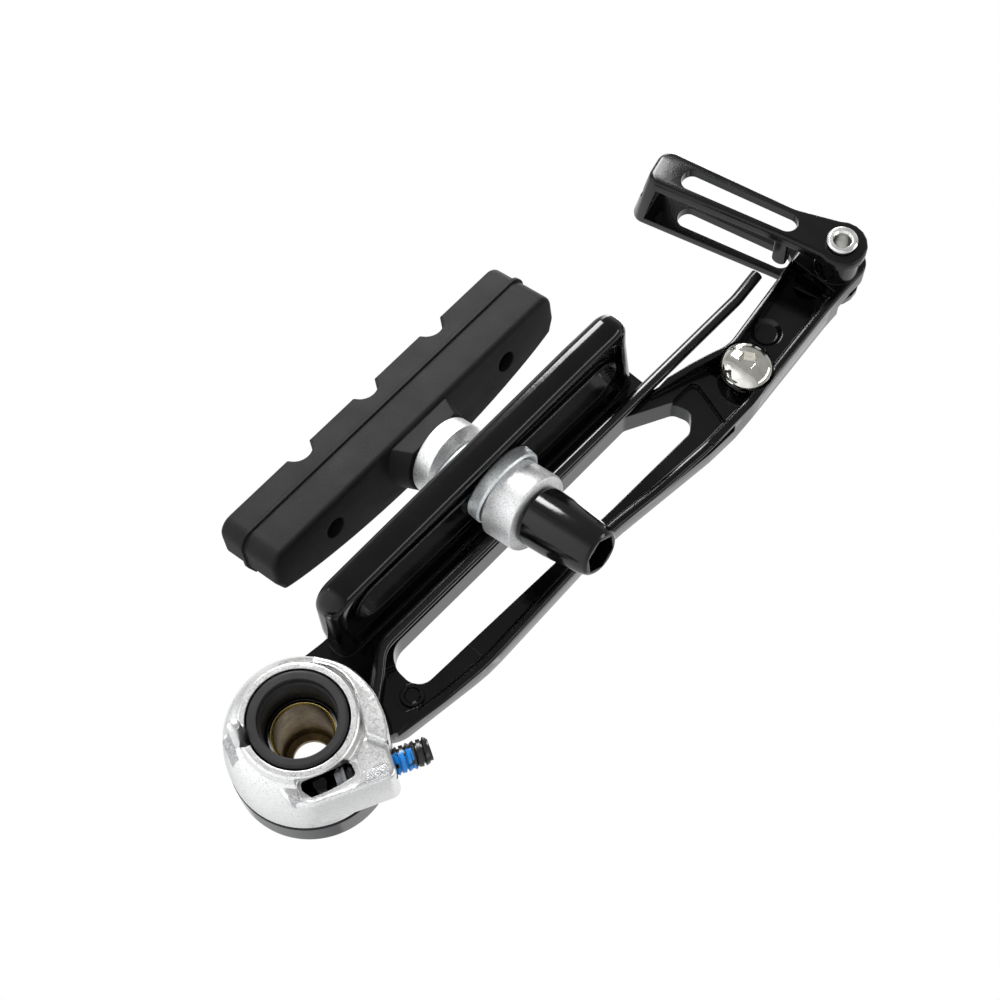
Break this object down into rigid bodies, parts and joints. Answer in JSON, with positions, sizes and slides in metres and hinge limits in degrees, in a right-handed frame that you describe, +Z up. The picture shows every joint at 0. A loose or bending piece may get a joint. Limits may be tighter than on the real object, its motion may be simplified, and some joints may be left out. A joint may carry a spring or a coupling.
{
  "type": "bicycle V-brake arm with pad and noodle link",
  "caption": "One arm of a bicycle V-brake: cast arm with slotted wall, spring housing, return spring, brake pad on a tilting post and a pivoting cable link.",
  "frame": {"origin": "on the pivot axis, at the seat of the collar on the fork boss", "axes": "+Z up along the arm, +Y along the pivot axis towards the fork, +X towards the wheel and the pad"},
  "size_m": [0.048, 0.0273, 0.1227],
  "materials": {
    "spring_housing": "tumbled casting",
    "hub_collar": "matte dark grey",
    "return_spring": "black spring steel",
    "tension_screw": "black oxide with a blue thread-locking patch",
    "brake_arm": "gloss black over cast aluminium",
    "pivot_bush": "machined",
    "spring_stop_screw": "nickel plated",
    "noodle_link": "semi-gloss black",
    "link_rivet": "bright zinc",
    "nut_side_cup_washer": "satin zinc",
    "pad_side_cup_washer": "satin zinc",
    "nut_side_dome_washer": "satin zinc",
    "pad_side_dome_washer": "satin zinc",
    "pad_nut": "gloss black",
    "pad_rubber": "matte moulded",
    "pad_insert": "plain",
    "pad_stud": "plain thread"
  },
  "bodies": {
    "housing": {"spring_housing": "spring_housing", "hub_collar": "hub_collar", "return_spring": "return_spring"},
    "arm": {"brake_arm": "brake_arm", "pivot_bush": "pivot_bush", "spring_stop_screw": "spring_stop_screw", "link_rivet": "link_rivet"},
    "link": {"noodle_link": "noodle_link"},
    "pad_carriage": {"nut_side_cup_washer": "nut_side_cup_washer", "pad_side_cup_washer": "pad_side_cup_washer"},
    "pad_unit": {"pad_rubber": "pad_rubber", "pad_insert": "pad_insert", "pad_stud": "pad_stud", "nut_side_dome_washer": "nut_side_dome_washer", "pad_side_dome_washer": "pad_side_dome_washer", "pad_nut": "pad_nut"},
    "tension_screw": {"tension_screw": "tension_screw"}
  },
  "joints": [
    {"name": "arm_pivot", "type": "hinge", "parent": "housing", "child": "arm", "pos_m": [0, 0, 0], "axis": [0, 1, 0], "range_deg": [-30, 15], "stiffness_Nm_per_rad": 0.6, "deforming": ["return_spring"]},
    {"name": "link_pivot", "type": "hinge", "parent": "arm", "child": "link", "pos_m": [-0.0047, 0, 0.1066], "axis": [0, 1, 0], "range_deg": [-70, 0]},
    {"name": "pad_height", "type": "slide", "parent": "arm", "child": "pad_carriage", "axis": [0, 0, 1], "range_m": [-0.018, 0.018]},
    {"name": "pad_turn", "type": "hinge", "parent": "pad_carriage", "child": "pad_unit", "pos_m": [0.00598, -0.00441, 0.04324], "axis": [0.9779, -0.1936, -0.0785], "continuous": true},
    {"name": "screw_travel", "type": "slide", "parent": "housing", "child": "tension_screw", "axis": [-0.4399, 0, 0.898], "range_m": [-0.0008, 0.004]}
  ]
}
